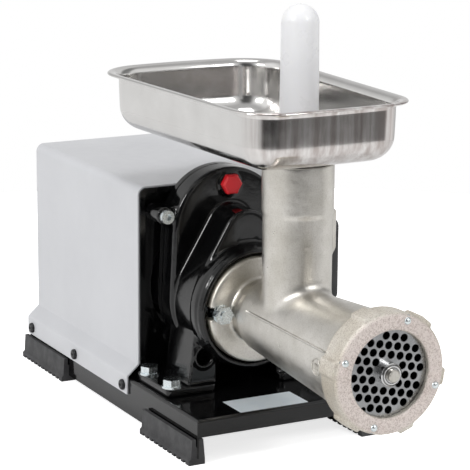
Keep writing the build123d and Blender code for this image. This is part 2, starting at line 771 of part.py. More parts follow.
auger_front = knife_back
auger_back = tongue_front
flight_pitch = 34.0
flight_start = auger_back - 6.0
flight_length = flight_start - auger_front - 4.0
flight_mid_r = 21.0
flight_centre = Vector(centre_x, flight_start, worm_z)
with BuildPart() as auger:
    with BuildLine() as flight_path:
        Helix(flight_pitch, flight_length, flight_mid_r, center=flight_centre, direction=(0, -1, 0))
    flight_root = flight_path.line @ 0
    flight_section = Plane(origin=flight_root, z_dir=flight_path.line % 0, x_dir=flight_root - flight_centre)
    with BuildSketch(flight_section):
        Rectangle(26.0, 5.0)
    sweep(path=flight_path.line, is_frenet=True)
    with BuildSketch(side_plane()):
        with BuildLine():
            Polyline(
                (auger_front, worm_z),
                (auger_front, worm_z + bore_front_r - 0.8),
                (auger_back, worm_z + bore_back_r - 0.8),
                (auger_back, worm_z),
                close=True,
            )
        make_face()
    revolve(axis=y_axis(worm_z), mode=Mode.INTERSECT)
    disc(auger_front, auger_back, 11.0, worm_z)
    disc(auger_back - 6.0, auger_back, bore_back_r - 0.6, worm_z)
    disc(plate_front - 10.5, auger_front, pin_r, worm_z)
    with BuildSketch(front_plane(auger_front)):
        with Locations((0, worm_z)):
            Rectangle(knife_square, knife_square)
    extrude(amount=auger_front - knife_front)
    with BuildSketch(front_plane(auger_back + 14.0)):
        with Locations((0, worm_z)):
            Rectangle(tongue_side - 0.2, tongue_side - 0.2)
    extrude(amount=14.0)
    chamfer(auger.faces().sort_by(Axis.Y)[0].edges(), 0.8)
auger.part.label = "auger"
export_step(auger.part, "parts/auger.step")

# =====================================================================
# Tray: a pressed dish, wider at the back, with a flat lip, a turned edge and a spigot
# =====================================================================
front_bow = 4.0
back_bow = 9.0
tray_skirt = 1.8
spigot_r = neck_bore_r - 0.4
spigot_depth = 26.0
tray_floor_r = 21.0
tray_front_corner_r = 34.0
tray_back_corner_r = 43.0


def tray_outline(inset):
    """The tray's plan as a sketch, this far inside its rim."""
    front = tray_front_y + inset
    back = tray_back_y - inset
    front_half = tray_front_half - inset
    back_half = tray_back_half - inset
    with BuildSketch(level_plane(tray_rim_z), mode=Mode.PRIVATE) as outline:
        with BuildLine():
            ThreePointArc((-front_half, front + front_bow), (0, front), (front_half, front + front_bow))
            Line((front_half, front + front_bow), (back_half, back - back_bow))
            ThreePointArc((back_half, back - back_bow), (0, back), (-back_half, back - back_bow))
            Line((-back_half, back - back_bow), (-front_half, front + front_bow))
        make_face()
        fillet(outline.vertices().group_by(Axis.Y)[0], tray_front_corner_r - inset)
        fillet(outline.vertices().sort_by(Axis.Y)[-2:], tray_back_corner_r - inset)
    return outline.sketch


with BuildPart() as tray_inside:
    extrude(tray_outline(tray_lip + tray_sheet), amount=tray_floor_z + tray_sheet - tray_rim_z)
    fillet(tray_inside.faces().sort_by(Axis.Z)[0].edges(), tray_floor_r - tray_sheet)

with BuildPart() as tray:
    extrude(tray_outline(0), amount=-tray_skirt)
    extrude(tray_outline(tray_sheet), amount=-tray_skirt, mode=Mode.SUBTRACT)
    extrude(tray_outline(0), amount=-tray_sheet)
    fillet(tray.faces().sort_by(Axis.Z)[-1].outer_wire().edges(), tray_sheet * 0.9)
    extrude(tray_outline(tray_lip), amount=tray_floor_z - tray_rim_z)
    fillet(tray.faces().sort_by(Axis.Z)[0].edges(), tray_floor_r)
    add(tray_inside.part, mode=Mode.SUBTRACT)
    with BuildSketch(level_plane(neck_top - spigot_depth)):
        with Locations((0, neck_y)):
            Circle(spigot_r)
    extrude(amount=spigot_depth + 1.0)
    with BuildSketch(level_plane(neck_top - spigot_depth)):
        with Locations((0, neck_y)):
            Circle(spigot_r - tray_sheet)
    extrude(amount=spigot_depth + 4.0, mode=Mode.SUBTRACT)
tray.part.label = "tray"
export_step(tray.part, "parts/tray.step")

# =====================================================================
# Pestle: a round-ended plastic rod with a wider foot
# =====================================================================
with BuildPart() as pestle:
    with BuildSketch(side_plane()):
        with BuildLine():
            Line((neck_y, pestle_bottom), (neck_y, pestle_top))
            ThreePointArc(
                (neck_y, pestle_top),
                (neck_y + pestle_r * sqrt(0.5), pestle_top - pestle_r * (1 - sqrt(0.5))),
                (neck_y + pestle_r, pestle_top - pestle_r),
            )
            Polyline(
                (neck_y + pestle_r, pestle_top - pestle_r),
                (neck_y + pestle_r + 0.5, pestle_bottom + 26.0),
                (neck_y + 20.5, pestle_bottom + 14.0),
                (neck_y + 20.5, pestle_bottom + 2.0),
                (neck_y + 18.5, pestle_bottom),
                (neck_y, pestle_bottom),
            )
        make_face()
    revolve(axis=Axis((centre_x, neck_y, 0), (0, 0, 1)))
pestle.part.label = "pestle"
export_step(pestle.part, "parts/pestle.step")

# =====================================================================
# Motor: bells, stator, windings, rotor, bearings, tie rods and fan
# =====================================================================
bell_wall = 3.0
bearing_width = 11.0
front_bearing_y = plate_back + 4.0
rear_bearing_y = bell_back - bell_wall - bearing_width - 1.0
with BuildPart() as motor_front_bell:
    disc(plate_back, stator_front, stator_r + 1.0, motor_z)
    disc(plate_back + 4.0, stator_front, stator_r - 2.0, motor_z, mode=Mode.SUBTRACT)
    disc(plate_back + 1.0, front_bearing_y + bearing_width, bearing_r + 3.0, motor_z)
    disc(front_bearing_y, front_bearing_y + bearing_width, bearing_r, motor_z, mode=Mode.SUBTRACT)
    disc(plate_back, stator_front, shaft_r + 2.0, motor_z, mode=Mode.SUBTRACT)
    with BuildSketch(front_plane(plate_back + 4.0)):
        with Locations((0, motor_z)):
            with PolarLocations(33.0, 8):
                SlotOverall(15.0, 7.0)
    extrude(amount=4.0, mode=Mode.SUBTRACT)
    with BuildSketch(front_plane(stator_front)):
        with Locations((0, motor_z)):
            with PolarLocations(tie_rod_r, 4, start_angle=45):
                Circle(5.0)
    extrude(amount=stator_front - plate_back - 1.0)
    with BuildSketch(front_plane(stator_front)):
        with Locations((0, motor_z)):
            with PolarLocations(tie_rod_r, 4, start_angle=45):
                Circle(2.6)
    extrude(amount=stator_front - plate_back, mode=Mode.SUBTRACT)
motor_front_bell.part.label = "motor_front_bell"
export_step(motor_front_bell.part, "parts/motor_front_bell.step")

with BuildPart() as motor_rear_bell:
    disc(stator_back, bell_back, stator_r + 1.0, motor_z)
    disc(stator_back, bell_back - bell_wall, stator_r - 2.0, motor_z, mode=Mode.SUBTRACT)
    disc(rear_bearing_y, bell_back - 1.0, bearing_r + 3.0, motor_z)
    disc(rear_bearing_y, rear_bearing_y + bearing_width, bearing_r, motor_z, mode=Mode.SUBTRACT)
    disc(stator_back, bell_back, shaft_r + 2.0, motor_z, mode=Mode.SUBTRACT)
    with BuildSketch(front_plane(bell_back)):
        with Locations((0, motor_z)):
            with PolarLocations(33.0, 8):
                SlotOverall(15.0, 7.0)
    extrude(amount=bell_wall, mode=Mode.SUBTRACT)
    with BuildSketch(front_plane(bell_back)):
        with Locations((0, motor_z)):
            with PolarLocations(tie_rod_r, 4, start_angle=45):
                Circle(5.0)
    extrude(amount=bell_back - stator_back)
    with BuildSketch(front_plane(bell_back)):
        with Locations((0, motor_z)):
            with PolarLocations(tie_rod_r, 4, start_angle=45):
                Circle(2.6)
    extrude(amount=bell_back - stator_back, mode=Mode.SUBTRACT)
motor_rear_bell.part.label = "motor_rear_bell"
export_step(motor_rear_bell.part, "parts/motor_rear_bell.step")

with BuildPart() as motor_tie_rods:
    for side in (-1, 1):
        for level in (-1, 1):
            rod_x = side * tie_rod_r * sqrt(0.5)
            rod_z = motor_z + level * tie_rod_r * sqrt(0.5)
            disc(plate_back - 3.5, bell_back + 6.0, 2.5, rod_z, rod_x)
            hexagon(bell_back, bell_back + 4.0, 8.0, rod_z, rod_x)
motor_tie_rods.part.label = "motor_tie_rods"
export_step(motor_tie_rods.part, "parts/motor_tie_rods.step")

with BuildPart() as stator_core:
    disc(stator_front, stator_back, stator_r, motor_z)
    disc(stator_front, stator_back, rotor_r + 0.4, motor_z, mode=Mode.SUBTRACT)
    with BuildSketch(front_plane(stator_back)):
        with Locations((0, motor_z)):
            with PolarLocations(tie_rod_r, 4, start_angle=45):
                Circle(2.6)
            with PolarLocations(34.5, 12):
                Circle(3.0)
    extrude(amount=stator_back - stator_front, mode=Mode.SUBTRACT)
stator_core.part.label = "stator_core"
export_step(stator_core.part, "parts/stator_core.step")

with BuildPart() as stator_windings:
    for y_from, y_to in ((stator_front - 6.0, stator_front), (stator_back, stator_back + 6.0)):
        disc(y_from, y_to, 39.0, motor_z)
        disc(y_from, y_to, 30.0, motor_z, mode=Mode.SUBTRACT)
    with BuildSketch(front_plane(stator_back)):
        with Locations((0, motor_z)):
            with PolarLocations(34.5, 12):
                Circle(3.0)
    extrude(amount=stator_back - stator_front)
stator_windings.part.label = "stator_windings"
export_step(stator_windings.part, "parts/stator_windings.step")

with BuildPart() as motor_bearings:
    for y_from in (front_bearing_y, rear_bearing_y):
        disc(y_from, y_from + bearing_width, bearing_r, motor_z)
        disc(y_from, y_from + bearing_width, shaft_r + running, motor_z, mode=Mode.SUBTRACT)
motor_bearings.part.label = "motor_bearings"
export_step(motor_bearings.part, "parts/motor_bearings.step")

fan_front = bell_back + 6.5
with BuildPart() as motor_rotor:
    disc(stator_front + 1.0, stator_back - 1.0, rotor_r, motor_z)
    disc(plate_back - 2.0, fan_front + 14.0, shaft_r, motor_z)
    disc(fast_front - 0.5, plate_back, pinion_bore_r, motor_z)
motor_rotor.part.label = "motor_rotor"
export_step(motor_rotor.part, "parts/motor_rotor.step")

with BuildPart() as motor_fan:
    disc(fan_front, fan_front + 2.0, 44.0, motor_z)
    disc(fan_front, fan_front + 14.0, 12.0, motor_z)
    with BuildSketch(front_plane(fan_front + 14.0)):
        with Locations((0, motor_z)):
            with PolarLocations(27.0, 8):
                Rectangle(33.0, 2.0)
    extrude(amount=14.0)
    disc(fan_front, fan_front + 14.0, shaft_r, motor_z, mode=Mode.SUBTRACT)
motor_fan.part.label = "motor_fan"
export_step(motor_fan.part, "parts/motor_fan.step")

# =====================================================================
# Run capacitor and its clip, on the pan beside the motor
# =====================================================================
capacitor_x = 46.0
capacitor_r = 15.0
capacitor_z = base_top + capacitor_r + 1.0
with BuildPart() as run_capacitor:
    disc(150.0, 215.0, capacitor_r, capacitor_z, capacitor_x)
    disc(215.0, 218.0, 6.0, capacitor_z, capacitor_x)
run_capacitor.part.label = "run_capacitor"
export_step(run_capacitor.part, "parts/run_capacitor.step")

with BuildPart() as capacitor_clip:
    disc(175.0, 190.0, capacitor_r + 1.0, capacitor_z, capacitor_x)
    with BuildSketch(level_plane(base_top)):
        with Locations((capacitor_x, 182.5)):
            Rectangle(2 * capacitor_r + 8.0, 15.0)
    extrude(amount=2.0)
    disc(175.0, 190.0, capacitor_r, capacitor_z, capacitor_x, mode=Mode.SUBTRACT)
capacitor_clip.part.label = "capacitor_clip"
export_step(capacitor_clip.part, "parts/capacitor_clip.step")

# =====================================================================
# Switch box on the cover's right side, with its lid and rocker
# =====================================================================
switch_mid_y = switch_front + switch_length / 2
switch_mid_z = switch_bottom + switch_height / 2
rocker_height = 26.0
rocker_width = 18.0
with BuildPart() as switch_box:
    with BuildSketch(side_plane(cover_half)):
        with Locations((switch_mid_y, switch_mid_z)):
            RectangleRounded(switch_length, switch_height, 4)
    extrude(amount=switch_out - cover_half)
    offset(amount=-2.0, openings=switch_box.faces().sort_by(Axis.X)[-1])
switch_box.part.label = "switch_box"
export_step(switch_box.part, "parts/switch_box.step")

with BuildPart() as switch_lid:
    with BuildSketch(side_plane(switch_out)):
        with Locations((switch_mid_y, switch_mid_z)):
            RectangleRounded(switch_length + 2 * lid_margin, switch_height + 2 * lid_margin, 6)
    extrude(amount=lid_out - switch_out)
    fillet(switch_lid.faces().sort_by(Axis.X)[-1].edges(), 3.0)
    with BuildSketch(side_plane(lid_out)):
        with Locations((switch_mid_y, switch_mid_z)):
            Rectangle(rocker_width + 2 * gap + 3.0, rocker_height + 2 * gap + 3.0)
    extrude(amount=switch_out - lid_out, mode=Mode.SUBTRACT)
switch_lid.part.label = "switch_lid"
export_step(switch_lid.part, "parts/switch_lid.step")

rocker_axis_x = lid_out - 7.0
pivot_r = 1.5
with BuildPart() as switch_body:
    with BuildSketch(side_plane(switch_out - 24.0)):
        with Locations((switch_mid_y, switch_mid_z)):
            Rectangle(rocker_width + 2 * gap + 3.0, rocker_height + 2 * gap + 3.0)
    extrude(amount=lid_out - 1.5 - switch_out + 24.0)
    with BuildSketch(side_plane(lid_out)):
        with Locations((switch_mid_y, switch_mid_z)):
            Rectangle(rocker_width + 2 * gap, rocker_height + 2 * gap)
    extrude(amount=-14.0, mode=Mode.SUBTRACT)
    with BuildSketch(front_plane(switch_mid_y + rocker_width / 2 + gap)):
        with Locations((rocker_axis_x, switch_mid_z)):
            Circle(pivot_r)
    extrude(amount=rocker_width + 2 * gap)
switch_body.part.label = "switch_body"
export_step(switch_body.part, "parts/switch_body.step")

with BuildPart() as switch_rocker:
    with BuildSketch(front_plane(switch_mid_y + rocker_width / 2)):
        with BuildLine():
            Polyline(
                (lid_out - 11.0, switch_mid_z - 6.0),
                (lid_out - 11.0, switch_mid_z + 6.0),
                (lid_out - 4.2, switch_mid_z + rocker_height / 2 - 1.0),
                (lid_out - 2.2, switch_mid_z + rocker_height / 2 - 1.0),
                (lid_out - 3.4, switch_mid_z),
                (lid_out - 2.2, switch_mid_z - rocker_height / 2 + 1.0),
                (lid_out - 4.2, switch_mid_z - rocker_height / 2 + 1.0),
                close=True,
            )
        make_face()
        with Locations((rocker_axis_x, switch_mid_z)):
            Circle(pivot_r + running, mode=Mode.SUBTRACT)
    extrude(amount=rocker_width)
switch_rocker.part.label = "switch_rocker"
export_step(switch_rocker.part, "parts/switch_rocker.step")

# =====================================================================
# Fasteners of the gearbox, oil plug and the blank label
# =====================================================================
with BuildPart() as housing_screws:
    for side in (-1, 1):
        disc(-0.5, 4.0, 5.4, top_boss[1], side * top_boss[0])
        disc(4.0, case_back + 4.0, 3.1, top_boss[1], side * top_boss[0])
        hexagon(-0.5, 2.0, 5.0, top_boss[1], side * top_boss[0], mode=Mode.SUBTRACT)
housing_screws.part.label = "housing_screws"
export_step(housing_screws.part, "parts/housing_screws.step")

with BuildPart() as leg_screws:
    for side in (-1, 1):
        disc(-11.0, -6.0, 5.4, leg_screw[1], side * leg_screw[0])
        disc(-6.0, case_back + 4.0, 3.1, leg_screw[1], side * leg_screw[0])
        hexagon(-11.0, -8.0, 5.0, leg_screw[1], side * leg_screw[0], mode=Mode.SUBTRACT)
leg_screws.part.label = "leg_screws"
export_step(leg_screws.part, "parts/leg_screws.step")

with BuildPart() as oil_plug:
    hexagon(case_front - 6.5, case_front - 1.2, 15.0, plug_z)
    chamfer(oil_plug.faces().sort_by(Axis.Y)[0].edges(), 1.2)
    disc(case_front - 1.2, case_front + wall, 4.95, plug_z)
oil_plug.part.label = "oil_plug"
export_step(oil_plug.part, "parts/oil_plug.step")

bolt_spots = [(x, y) for x in foot_bolt_xs for y in foot_bolt_ys]
washer_top = foot_plate_top + 1.6
head_top = washer_top + 5.3
nut_top = base_top - base_sheet
with BuildPart() as foot_bolts:
    with BuildSketch(level_plane(washer_top)):
        with Locations(bolt_spots):
            RegularPolygon(radius=6.5, side_count=6, major_radius=False)
    extrude(amount=head_top - washer_top)
    with BuildSketch(level_plane(nut_top - 9.0)):
        with Locations(bolt_spots):
            Circle(4.0)
    extrude(amount=washer_top - nut_top + 9.0)
foot_bolts.part.label = "foot_bolts"
export_step(foot_bolts.part, "parts/foot_bolts.step")

with BuildPart() as foot_washers:
    with BuildSketch(level_plane(foot_plate_top)):
        with Locations(bolt_spots):
            Circle(8.0)
            Circle(4.1, mode=Mode.SUBTRACT)
    extrude(amount=washer_top - foot_plate_top)
foot_washers.part.label = "foot_washers"
export_step(foot_washers.part, "parts/foot_washers.step")

with BuildPart() as foot_nuts:
    with BuildSketch(level_plane(nut_top)):
        with Locations(bolt_spots):
            RegularPolygon(radius=6.5, side_count=6, major_radius=False)
            Circle(4.0, mode=Mode.SUBTRACT)
    extrude(amount=-6.5)
foot_nuts.part.label = "foot_nuts"
export_step(foot_nuts.part, "parts/foot_nuts.step")

with BuildPart() as blank_label:
    with BuildSketch(level_plane(base_top)):
        with Locations((-8.0, base_front + 17.7)):
            Rectangle(59.0, 29.5)
    extrude(amount=0.3)
blank_label.part.label = "blank_label"
export_step(blank_label.part, "parts/blank_label.step")
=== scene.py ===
from math import cos, pi, radians, sin, sqrt

import bmesh
import bpy
from mathutils import Matrix, Vector


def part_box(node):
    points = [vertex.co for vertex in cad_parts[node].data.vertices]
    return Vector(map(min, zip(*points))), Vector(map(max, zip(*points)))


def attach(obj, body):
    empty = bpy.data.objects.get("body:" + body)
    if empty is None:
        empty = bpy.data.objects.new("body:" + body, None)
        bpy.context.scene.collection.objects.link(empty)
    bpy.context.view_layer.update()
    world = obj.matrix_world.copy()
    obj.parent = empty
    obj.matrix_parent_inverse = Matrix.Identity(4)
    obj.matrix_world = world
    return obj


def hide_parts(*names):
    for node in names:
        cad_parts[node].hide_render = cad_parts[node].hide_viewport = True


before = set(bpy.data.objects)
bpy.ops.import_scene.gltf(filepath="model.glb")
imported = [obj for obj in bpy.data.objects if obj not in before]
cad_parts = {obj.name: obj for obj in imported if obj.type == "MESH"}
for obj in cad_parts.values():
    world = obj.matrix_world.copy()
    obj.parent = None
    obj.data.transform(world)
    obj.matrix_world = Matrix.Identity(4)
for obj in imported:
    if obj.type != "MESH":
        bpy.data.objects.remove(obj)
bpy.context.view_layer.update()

MM = 0.001


def middle(node):
    """Centre of a CAD node's box."""
    low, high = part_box(node)
    return (low + high) / 2


plate = middle("cutting_plate")
centre_x = plate.x
worm_z = plate.z
plate_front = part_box("cutting_plate")[0].y

# ---------------------------------------------------------------------
# Camera, at the viewing angle of the picture
# ---------------------------------------------------------------------
VIEW_AZIMUTH = radians(-28.12)
VIEW_ELEVATION = radians(13.17)
VIEW_ROLL = radians(0.41)
VIEW_DISTANCE = 1.4664
AIM_RIGHT = -0.10693  # the aim point, from the plate's centre, across the picture
AIM_UP = 0.09684
LENS = 159.9


def make_camera():
    """A long lens on the outlet's left, a little above it."""
    level = cos(VIEW_ELEVATION)
    back = Vector((sin(VIEW_AZIMUTH) * level, -cos(VIEW_AZIMUTH) * level, sin(VIEW_ELEVATION)))
    level_right = Vector((cos(VIEW_AZIMUTH), sin(VIEW_AZIMUTH), 0))
    level_up = back.cross(level_right)
    right = level_right * cos(VIEW_ROLL) + level_up * sin(VIEW_ROLL)
    up = level_up * cos(VIEW_ROLL) - level_right * sin(VIEW_ROLL)
    aim = Vector((centre_x, plate_front, worm_z)) + right * AIM_RIGHT + up * AIM_UP
    data = bpy.data.cameras.new("camera")
    data.lens = LENS
    data.sensor_width = 36.0
    data.clip_start = 0.05
    data.clip_end = 50
    camera = bpy.data.objects.new("camera", data)
    bpy.context.scene.collection.objects.link(camera)
    place = aim + back * VIEW_DISTANCE
    turn = Matrix((right, up, back)).transposed().to_4x4()
    camera.matrix_world = Matrix.Translation(place) @ turn
    bpy.context.scene.camera = camera


make_camera()


# ---------------------------------------------------------------------
# Node materials
# ---------------------------------------------------------------------
class Nodes:
    """A small helper that builds one material's node tree."""

    def __init__(self, name):
        self.material = bpy.data.materials.new(name)
        self.material.use_nodes = True
        self.tree = self.material.node_tree
        self.shader = self.tree.nodes["Principled BSDF"]
        self.place = self.add("ShaderNodeTexCoord").outputs["Object"]

    def add(self, kind, **values):
        node = self.tree.nodes.new(kind)
        for key, value in values.items():
            setattr(node, key, value)
        return node

    def link(self, output, target):
        self.tree.links.new(output, target)

    def stretched(self, x, y, z):
        """Object coordinates, stretched along each axis."""
        mapping = self.add("ShaderNodeMapping")
        mapping.inputs["Scale"].default_value = (x, y, z)
        self.link(self.place, mapping.inputs["Vector"])
        return mapping.outputs["Vector"]

    def noise(self, scale, detail=3.0, rough=0.5, place=None):
        """Noise whose features are about 1 / scale metres across."""
        node = self.add("ShaderNodeTexNoise")
        node.inputs["Scale"].default_value = scale
        node.inputs["Detail"].default_value = detail
        node.inputs["Roughness"].default_value = rough
        self.link(place or self.place, node.inputs["Vector"])
        return node.outputs["Fac"]

    def spots(self, scale, place=None):
        """Distance to the nearest of scattered points, for pits and grains."""
        node = self.add("ShaderNodeTexVoronoi")
        node.inputs["Scale"].default_value = scale
        self.link(place or self.place, node.inputs["Vector"])
        return node.outputs["Distance"]

    def span(self, value, low, high, from_low=0.3, from_high=0.7):
        """The value, mapped from one range to another."""
        node = self.add("ShaderNodeMapRange")
        node.inputs["From Min"].default_value = from_low
        node.inputs["From Max"].default_value = from_high
        node.inputs["To Min"].default_value = low
        node.inputs["To Max"].default_value = high
        self.link(value, node.inputs["Value"])
        return node.outputs["Result"]

    def blend(self, value, first, second, from_low=0.3, from_high=0.7):
        """A colour between two, by a value."""
        node = self.add("ShaderNodeMix", data_type="RGBA")
        self.link(self.span(value, 0, 1, from_low, from_high), node.inputs["Factor"])
        node.inputs[6].default_value = (*first, 1)
        node.inputs[7].default_value = (*second, 1)
        return node.outputs[2]

    def bumps(self, *layers):
        """Bump layers, each (height, strength, distance in metres)."""
        normal = None
        for height, strength, distance in layers:
            node = self.add("ShaderNodeBump")
            node.inputs["Strength"].default_value = strength
            node.inputs["Distance"].default_value = distance
            self.link(height, node.inputs["Height"])
            if normal:
                self.link(normal, node.inputs["Normal"])
            normal = node.outputs["Normal"]
        self.link(normal, self.shader.inputs["Normal"])

    def colour(self, output):
        self.link(output, self.shader.inputs["Base Color"])

    def roughness(self, output):
        self.link(output, self.shader.inputs["Roughness"])

    def fixed(self, **values):
        for key, value in values.items():
            self.shader.inputs[key.replace("_", " ")].default_value = value


def gloss_black(name, tint=(0.0016, 0.0016, 0.0018), peel=420.0, rough=(0.06, 0.14), wave=0.0001):
    """Gloss black enamel with orange peel and a few dull, dusty patches."""
    m = Nodes(name)
    m.colour(m.blend(m.noise(35, 4), tint, tuple(c * 1.9 + 0.001 for c in tint)))
    m.roughness(m.span(m.noise(60, 5, 0.6), rough[0], rough[1]))
    m.bumps((m.noise(peel, 2), 0.25, wave), (m.noise(38, 2), 0.3, wave * 4))
    m.fixed(Specular_IOR_Level=0.5)
    return m.material


def rubber():
    """Dark grey moulded rubber, matt, with a fine skin and a little dust."""
    m = Nodes("rubber")
    m.colour(m.blend(m.noise(90, 5), (0.030, 0.030, 0.032), (0.058, 0.058, 0.060)))
    m.roughness(m.span(m.noise(140, 4), 0.5, 0.68))
    m.bumps((m.noise(1500, 3), 0.3, 0.00008), (m.noise(160, 2), 0.2, 0.0002))
    return m.material


def grey_paint():
    """Light grey satin powder coat."""
    m = Nodes("grey_paint")
    m.colour(m.blend(m.noise(14, 4), (0.585, 0.592, 0.615), (0.625, 0.632, 0.655)))
    m.roughness(m.span(m.noise(90, 4), 0.3, 0.4))
    m.bumps((m.noise(900, 3), 0.2, 0.00006), (m.noise(20, 2), 0.15, 0.0004))
    m.fixed(Coat_Weight=0.15, Coat_Roughness=0.25)
    return m.material


def metal(name, low, high, rough, grain=700.0, depth=0.00005, patch=30.0, stretch=None):
    """Bare metal with patches of tone and a fine grain, drawn out along one way if stretch is given."""
    m = Nodes(name)
    place = m.stretched(*stretch) if stretch else m.place
    m.colour(m.blend(m.noise(patch, 5), low, high))
    m.roughness(m.span(m.noise(grain * 0.4, 4, 0.6, place), rough[0], rough[1]))
    m.bumps((m.noise(grain, 3, 0.6, place), 0.35, depth))
    m.fixed(Metallic=1.0)
    return m.material


def drilled_plate():
    """The cutting plate: its ground front face is grey steel; the walls of its holes are painted dark, a painted
    shade that deepens behind the front face.
    """
    m = Nodes("plate_steel")
    split = m.add("ShaderNodeSeparateXYZ")
    m.link(m.place, split.inputs[0])
    # painted shade: the hole walls fade to near black from 0.3 to 1.6 mm behind the plate's front face
    depth = m.span(split.outputs["Y"], 0, 1, plate_front + 0.0003, plate_front + 0.0016)
    face = m.blend(m.noise(70, 4), (0.27, 0.275, 0.28), (0.40, 0.405, 0.41))
    tone = m.add("ShaderNodeMix", data_type="RGBA")
    m.link(depth, tone.inputs["Factor"])
    m.link(face, tone.inputs[6])
    tone.inputs[7].default_value = (0.012, 0.012, 0.012, 1)
    m.colour(tone.outputs[2])
    m.roughness(m.span(m.noise(300, 4, 0.6), 0.22, 0.36))
    m.bumps((m.noise(600, 3, 0.6), 0.35, 0.00004))
    m.fixed(Metallic=1.0)
    return m.material


def turned(name, low, high):
    """Turned steel with fine rings round the worm's axis: real tool rings, with a strong dark and light banding
    that is painted sheen and shade.
    """
    m = Nodes(name)
    centred = m.add("ShaderNodeMapping")
    centred.inputs["Location"].default_value = (-centre_x, 0, -worm_z)
    m.link(m.place, centred.inputs["Vector"])
    rings = m.add("ShaderNodeTexWave", wave_type="RINGS", rings_direction="Y", wave_profile="SIN")
    rings.inputs["Scale"].default_value = 170.0
    rings.inputs["Distortion"].default_value = 0.4
    m.link(centred.outputs["Vector"], rings.inputs["Vector"])
    # painted sheen and shade: the rings swing the colour between dark and light grey
    m.colour(m.blend(rings.outputs["Fac"], low, high, 0, 1))
    m.roughness(m.span(m.noise(200, 3), 0.16, 0.28))
    m.bumps((rings.outputs["Fac"], 0.35, 0.0002))
    m.fixed(Metallic=1.0)
    return m.material


def tinned_cast(name, low, high, end_tone, ends, rough=(0.30, 0.46),
                pit_size=520, grain=0.00016, pit_share=0.35):
    """Tinned cast iron with a pitted sand-cast skin, duller and tinted where Y runs between the two ends."""
    m = Nodes(name)
    split = m.add("ShaderNodeSeparateXYZ")
    m.link(m.place, split.inputs[0])
    at_end = m.span(split.outputs["Y"], 0, 1, ends[0], ends[1])
    tinted = m.add("ShaderNodeMix", data_type="RGBA")
    m.link(at_end, tinted.inputs["Factor"])
    m.link(m.blend(m.noise(26, 5, 0.55), low, high, 0.35, 0.65), tinted.inputs[6])
    tinted.inputs[7].default_value = (*end_tone, 1)
    tone = tinted.outputs[2]
    pits = m.span(m.spots(pit_size), 0, 1, 0.05, 0.16)
    dark = m.add("ShaderNodeMix", data_type="RGBA", blend_type="MULTIPLY")
    dark.inputs["Factor"].default_value = pit_share
    m.link(tone, dark.inputs[6])
    m.link(m.blend(pits, (0.45, 0.42, 0.38), (1, 1, 1), 0, 1), dark.inputs[7])
    sand = m.add("ShaderNodeMix", data_type="RGBA", blend_type="MULTIPLY")
    sand.inputs["Factor"].default_value = pit_share
    m.link(dark.outputs[2], sand.inputs[6])
    m.link(m.blend(m.noise(1000, 3, 0.7), (0.66, 0.61, 0.59), (1, 1, 1), 0.36, 0.54), sand.inputs[7])
    m.colour(sand.outputs[2])
    duller = m.add("ShaderNodeMath", operation="MULTIPLY_ADD")
    m.link(at_end, duller.inputs[0])
    duller.inputs[1].default_value = 0.14
    m.link(m.span(m.noise(75, 5, 0.65), rough[0], rough[1]), duller.inputs[2])
    m.roughness(duller.outputs[0])
    m.bumps(
        (m.noise(1100, 4, 0.7), 0.8, grain),
        (m.noise(260, 3), 0.35, 0.0004),
        (m.noise(45, 2), 0.25, 0.0012),
    )
    m.fixed(Metallic=1.0)
    return m.material


def sheet_steel():
    """Polished stainless sheet: nearly a mirror, with upright drawing marks on the front wall, whose darker,
    reddish streaked tone is a painted reflection.
    """
    m = Nodes("steel_sheet")
    drawn = m.stretched(1, 1, 0.03)
    drawing_marks_and_painted_streaks = m.noise(170, 4, 0.65, drawn)
    split = m.add("ShaderNodeSeparateXYZ")
    m.link(m.place, split.inputs[0])
    # painted reflection: below Y -0.13 the front wall takes a darker, reddish streaked tone; the streaks are
    # partly real drawing marks
    tone = m.add("ShaderNodeMix", data_type="RGBA")
    m.link(m.span(split.outputs["Y"], 1, 0, -0.162, -0.13), tone.inputs["Factor"])
    m.link(m.blend(m.noise(40, 3), (0.63, 0.62, 0.607), (0.68, 0.672, 0.66)), tone.inputs[6])
    m.link(m.blend(drawing_marks_and_painted_streaks, (0.42, 0.365, 0.345), (0.78, 0.755, 0.74), 0.34, 0.66), tone.inputs[7])
    m.colour(tone.outputs[2])
    m.roughness(m.span(m.noise(90, 4), 0.12, 0.19))
    m.bumps((m.noise(11, 2), 0.12, 0.0006), (m.noise(60, 3, 0.6, drawn), 0.05, 0.0003))
    m.fixed(Metallic=1.0)
    return m.material


def white_plastic():
    """White polythene, smooth, a little translucent."""
    m = Nodes("white_plastic")
    m.colour(m.blend(m.noise(18, 2), (0.86, 0.862, 0.88), (0.875, 0.877, 0.89)))
    m.roughness(m.span(m.noise(80, 3), 0.26, 0.32))
    m.bumps((m.noise(500, 2), 0.06, 0.00004), (m.noise(30, 2), 0.04, 0.0002))
    m.fixed(Subsurface_Weight=0.15, Subsurface_Radius=(0.004, 0.004, 0.0035), Subsurface_Scale=0.5)
    return m.material


def moulded(name, low, high, rough=(0.35, 0.5), grain=1200.0):
    """Moulded plastic with a fine texture."""
    m = Nodes(name)
    m.colour(m.blend(m.noise(60, 4), low, high))
    m.roughness(m.span(m.noise(120, 4), rough[0], rough[1]))
    m.bumps((m.noise(grain, 3), 0.25, 0.00005))
    return m.material


def printed_foil():
    """A silvery foil label, half matt."""
    m = Nodes("label_foil")
    m.colour(m.blend(m.noise(50, 4), (0.76, 0.84, 0.90), (0.83, 0.90, 0.94)))
    m.roughness(m.span(m.noise(160, 4), 0.28, 0.4))
    m.bumps((m.noise(400, 3), 0.2, 0.00003))
    m.fixed(Metallic=0.12)
    return m.material


